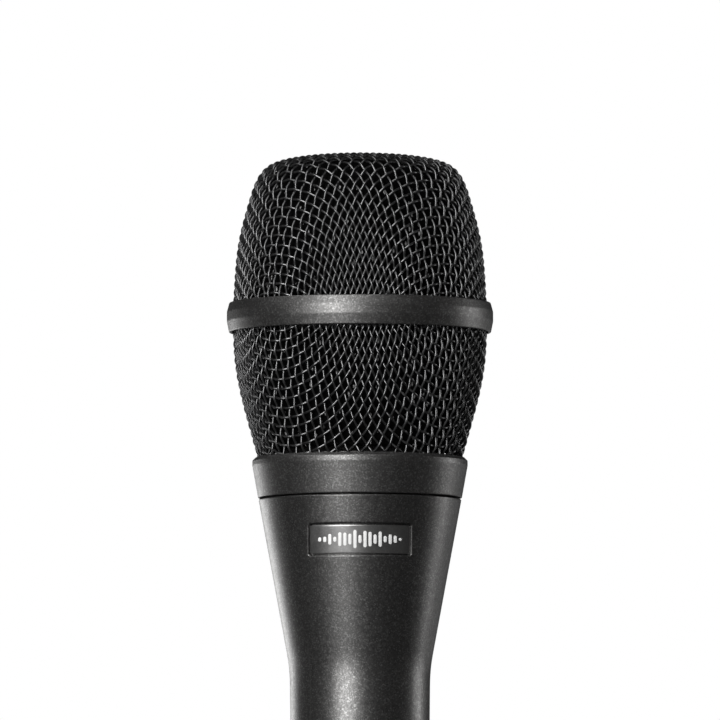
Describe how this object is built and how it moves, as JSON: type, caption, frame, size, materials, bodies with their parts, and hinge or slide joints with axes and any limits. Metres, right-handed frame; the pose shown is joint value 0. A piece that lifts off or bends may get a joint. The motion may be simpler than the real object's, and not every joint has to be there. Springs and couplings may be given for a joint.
{
  "type": "dynamic microphone",
  "caption": "Hand-held moving-coil vocal microphone: tapered handle, screw-on woven wire grille with a band, sprung cartridge inside and a cable socket in the tail.",
  "frame": {"origin": "centre of the handle's tail end face, on the long axis", "axes": "+Z along the handle towards the grille; -Y towards the badge; +X to the right seen from the badge side"},
  "size_m": [0.0494, 0.0494, 0.191],
  "materials": {
    "charcoal_enamel": "satin charcoal enamel with fine metallic fleck, over die-cast alloy",
    "charcoal_enamel_steel": "satin charcoal enamel with fine metallic fleck",
    "grille_wire": "satin black, round drawn wire in plain weave",
    "foam": "open-cell black foam",
    "black_rubber": "matte moulded rubber",
    "badge_gloss": null,
    "black_plastic": "matte, fine spark-eroded texture",
    "grey_plastic": "matte moulded",
    "magnet_alloy": "ground alloy",
    "plated_steel": "zinc-plated, turned",
    "core_steel": "stacked laminations with blue-grey oxide",
    "copper_wire": "enamelled copper winding",
    "polyester_film": "thin translucent film",
    "acoustic_cloth": "fine woven cloth",
    "felt": "pressed felt",
    "brass": "turned, lacquered",
    "gold_plate": "gold-plated contact",
    "red_insulation": "extruded insulation",
    "black_insulation": "extruded insulation",
    "green_insulation": "extruded insulation"
  },
  "bodies": {
    "handle": {"handle": "charcoal_enamel", "badge_plate": "badge_gloss", "grille_seal": "black_rubber", "shock_mount": "black_rubber", "cartridge_lead_1": "red_insulation", "cartridge_lead_2": "black_insulation", "transformer_core": "core_steel", "transformer_bobbin": "grey_plastic", "transformer_winding": "copper_wire", "transformer_sleeve": "foam", "output_lead_1": "green_insulation", "output_lead_2": "red_insulation", "output_lead_3": "black_insulation", "xlr_insert": "black_plastic", "xlr_pin_1": "gold_plate", "xlr_pin_2": "gold_plate", "xlr_pin_3": "gold_plate", "xlr_lock_screw": "plated_steel"},
    "windscreen_lower": {"windscreen_foam_lower": "foam"},
    "windscreen_upper": {"windscreen_foam_upper": "foam"},
    "grille": {"grille_mesh_upper": "grille_wire", "grille_mesh_lower": "grille_wire", "grille_band": "charcoal_enamel_steel", "grille_collar": "charcoal_enamel"},
    "cartridge": {"cartridge_housing": "black_plastic", "resonator_cap": "black_plastic", "front_screen": "acoustic_cloth", "clamp_ring": "brass", "diaphragm_seat": "brass", "magnet_pot": "plated_steel", "magnet": "magnet_alloy", "pole_piece": "plated_steel", "rear_port_cloth": "acoustic_cloth", "damping_felt": "felt", "rear_chamber": "grey_plastic", "cartridge_terminal_1": "brass", "cartridge_terminal_2": "brass"},
    "moving_coil": {"diaphragm": "polyester_film", "voice_coil": "copper_wire"}
  },
  "joints": [
    {"name": "grille_lift_off", "type": "slide", "parent": "handle", "child": "windscreen_upper", "axis": [0, 0, 1], "range_m": [0, 0.06]},
    {"name": "grille_rise", "type": "slide", "parent": "windscreen_upper", "child": "windscreen_lower", "axis": [0, 0, 1], "range_m": [0, 0.005]},
    {"name": "grille_unscrew", "type": "hinge", "parent": "windscreen_lower", "child": "grille", "pos_m": [0, 0, 0.13], "axis": [0, 0, 1], "range_deg": [0, 1800]},
    {"name": "cartridge_float", "type": "slide", "parent": "handle", "child": "cartridge", "axis": [0, 0, 1], "range_m": [-0.0015, 0.0015], "stiffness_N_per_m": 3000, "deforming": ["shock_mount", "cartridge_lead_1", "cartridge_lead_2"]},
    {"name": "diaphragm_travel", "type": "slide", "parent": "cartridge", "child": "moving_coil", "axis": [0, 0, 1], "range_m": [-0.00025, 0.00025], "stiffness_N_per_m": 400, "deforming": ["diaphragm"]}
  ],
  "couplings": [
    {"joint": "grille_rise", "follows": "grille_unscrew", "m_per_rad": 0.00015915}
  ]
}
